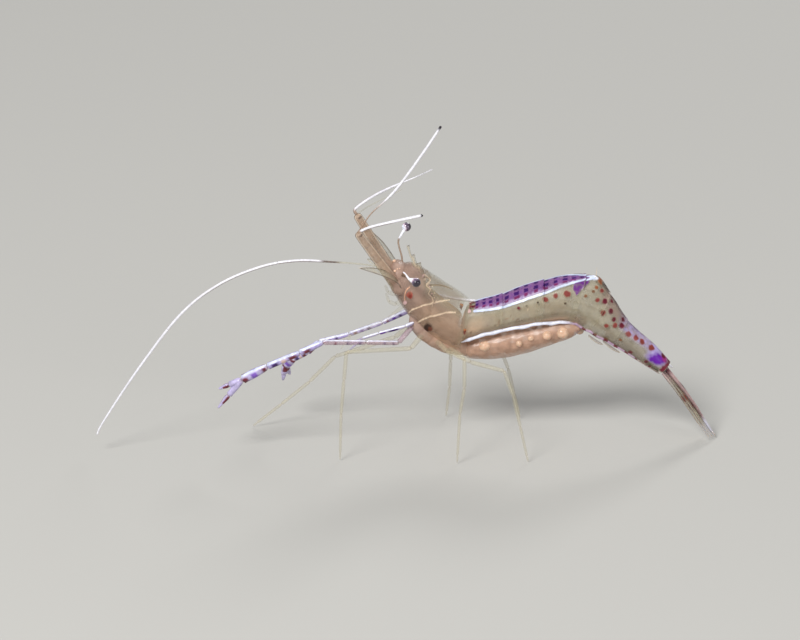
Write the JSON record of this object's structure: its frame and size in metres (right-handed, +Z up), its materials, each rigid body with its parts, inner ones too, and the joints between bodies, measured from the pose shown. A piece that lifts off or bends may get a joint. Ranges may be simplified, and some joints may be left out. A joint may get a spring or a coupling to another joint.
{
  "type": "cleaner shrimp",
  "caption": "Still life-size model of a cleaner shrimp standing on its thin legs, with glassy shell, purple spots, white lines, raised feelers, slim claws and eggs carried under the abdomen.",
  "frame": {"origin": "under the middle of the whole animal, on the level that its feet and tail tip stand on", "axes": "+Z up, head towards -X, the animal's left side towards -Y"},
  "size_m": [0.0348, 0.0076, 0.0186],
  "materials": {
    "shell": "clear tan-tinted shell over orange-brown tissue, with bright white lines",
    "abdomen": "glass-clear shell with a purple-spotted lilac saddle, white stripes and small red-brown spots",
    "tail": "clear blades with violet patches and maroon spots",
    "claw": "clear lilac with violet and maroon bands and a white stripe",
    "limb": "clear, faintly milky, with few small specks",
    "feeler": "bright white, darkening at the tips",
    "eye": "dark grey-purple, wet gloss",
    "egg": "orange-tan, glossy round eggs"
  },
  "bodies": {
    "root": {"abdomen_1": "abdomen", "abdomen_2": "abdomen", "abdomen_3": "abdomen", "abdomen_4": "abdomen", "abdomen_5": "abdomen", "abdomen_6": "abdomen", "antenna_l_1": "feeler", "antenna_l_2": "feeler", "antenna_l_3": "feeler", "antenna_r_1": "feeler", "antenna_r_2": "feeler", "antenna_r_3": "feeler", "antennal_scale_l": "shell", "antennal_scale_r": "shell", "antennule_inner_l": "feeler", "antennule_inner_r": "feeler", "antennule_outer_l": "feeler", "antennule_outer_r": "feeler", "antennule_peduncle_l": "shell", "antennule_peduncle_r": "shell", "carapace": "shell", "cheliped_l_arm": "claw", "cheliped_l_claw": "claw", "cheliped_l_forearm": "claw", "cheliped_r_arm": "claw", "cheliped_r_claw": "claw", "cheliped_r_forearm": "claw", "egg_mass": "egg", "eye_l": "eye", "eye_r": "eye", "eyestalk_l": "limb", "eyestalk_r": "limb", "leg_1_l": "limb", "leg_1_r": "limb", "leg_3_l_lower": "limb", "leg_3_l_upper": "limb", "leg_3_r_lower": "limb", "leg_3_r_upper": "limb", "leg_4_l_lower": "limb", "leg_4_l_upper": "limb", "leg_4_r_lower": "limb", "leg_4_r_upper": "limb", "leg_5_l_lower": "limb", "leg_5_l_upper": "limb", "leg_5_r_lower": "limb", "leg_5_r_upper": "limb", "maxilliped_l": "limb", "maxilliped_r": "limb", "pleopod_4_l": "limb", "pleopod_4_r": "limb", "pleopod_5_l": "limb", "pleopod_5_r": "limb", "rostrum": "shell", "telson": "tail", "uropod_l": "tail", "uropod_r": "tail"}
  },
  "joints": []
}
